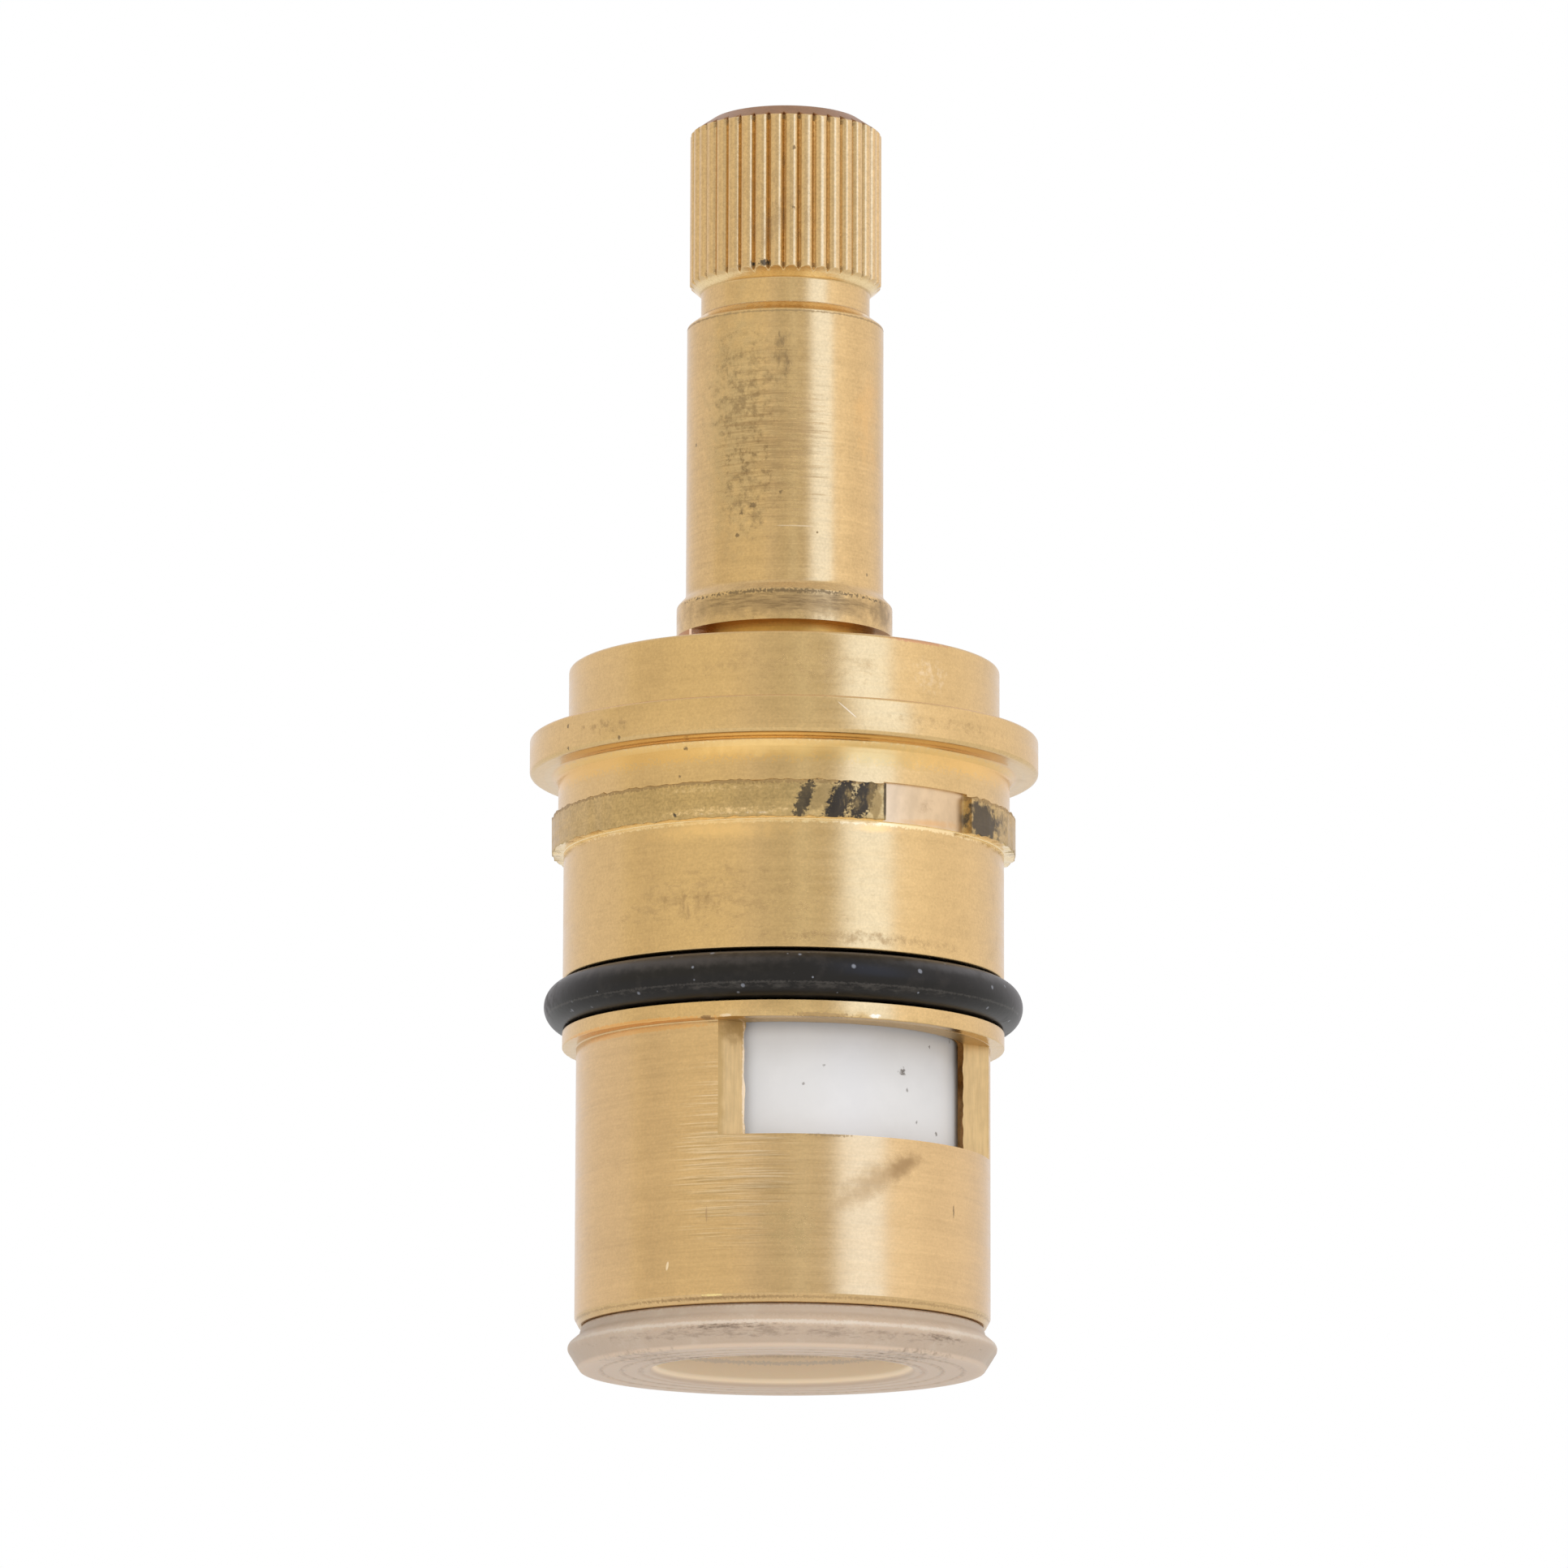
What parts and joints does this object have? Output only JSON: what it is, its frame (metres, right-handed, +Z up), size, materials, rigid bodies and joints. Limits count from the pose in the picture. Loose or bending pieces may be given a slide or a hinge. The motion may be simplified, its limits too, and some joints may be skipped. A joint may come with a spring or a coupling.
{
  "type": "faucet stem cartridge",
  "caption": "Quarter-turn ceramic tap cartridge: splined brass stem in a turned brass body with side windows, O-ring and seat seal.",
  "frame": {"origin": "centre of the lower face of the seat seal, on the axis of the stem", "axes": "+Z up along the stem, the two side windows facing -Y and +Y"},
  "size_m": [0.0214, 0.0214, 0.0535],
  "materials": {
    "body_brass": "turned, unplated, slightly tarnished",
    "stem_brass": "turned, unplated, slightly tarnished",
    "black_rubber": "satin, greased",
    "white_acetal": "moulded",
    "spring_steel": "stamped",
    "white_ceramic": "sintered alumina, lapped faces",
    "beige_silicone": "moulded, slightly translucent"
  },
  "bodies": {
    "body": {"cartridge_body": "body_brass", "body_o_ring": "black_rubber", "thrust_washer": "white_acetal", "fixed_ceramic_disc": "white_ceramic", "seal_support_ring": "white_acetal", "seat_seal": "beige_silicone"},
    "spindle": {"stem": "stem_brass", "stem_o_ring_upper": "black_rubber", "stem_o_ring_lower": "black_rubber", "retaining_clip": "spring_steel", "drive_coupling": "white_acetal", "rotating_ceramic_disc": "white_ceramic"}
  },
  "joints": [
    {"name": "stem_turn", "type": "hinge", "parent": "body", "child": "spindle", "pos_m": [0, 0, 0.02971], "axis": [0, 0, 1], "range_deg": [0, 90]}
  ]
}
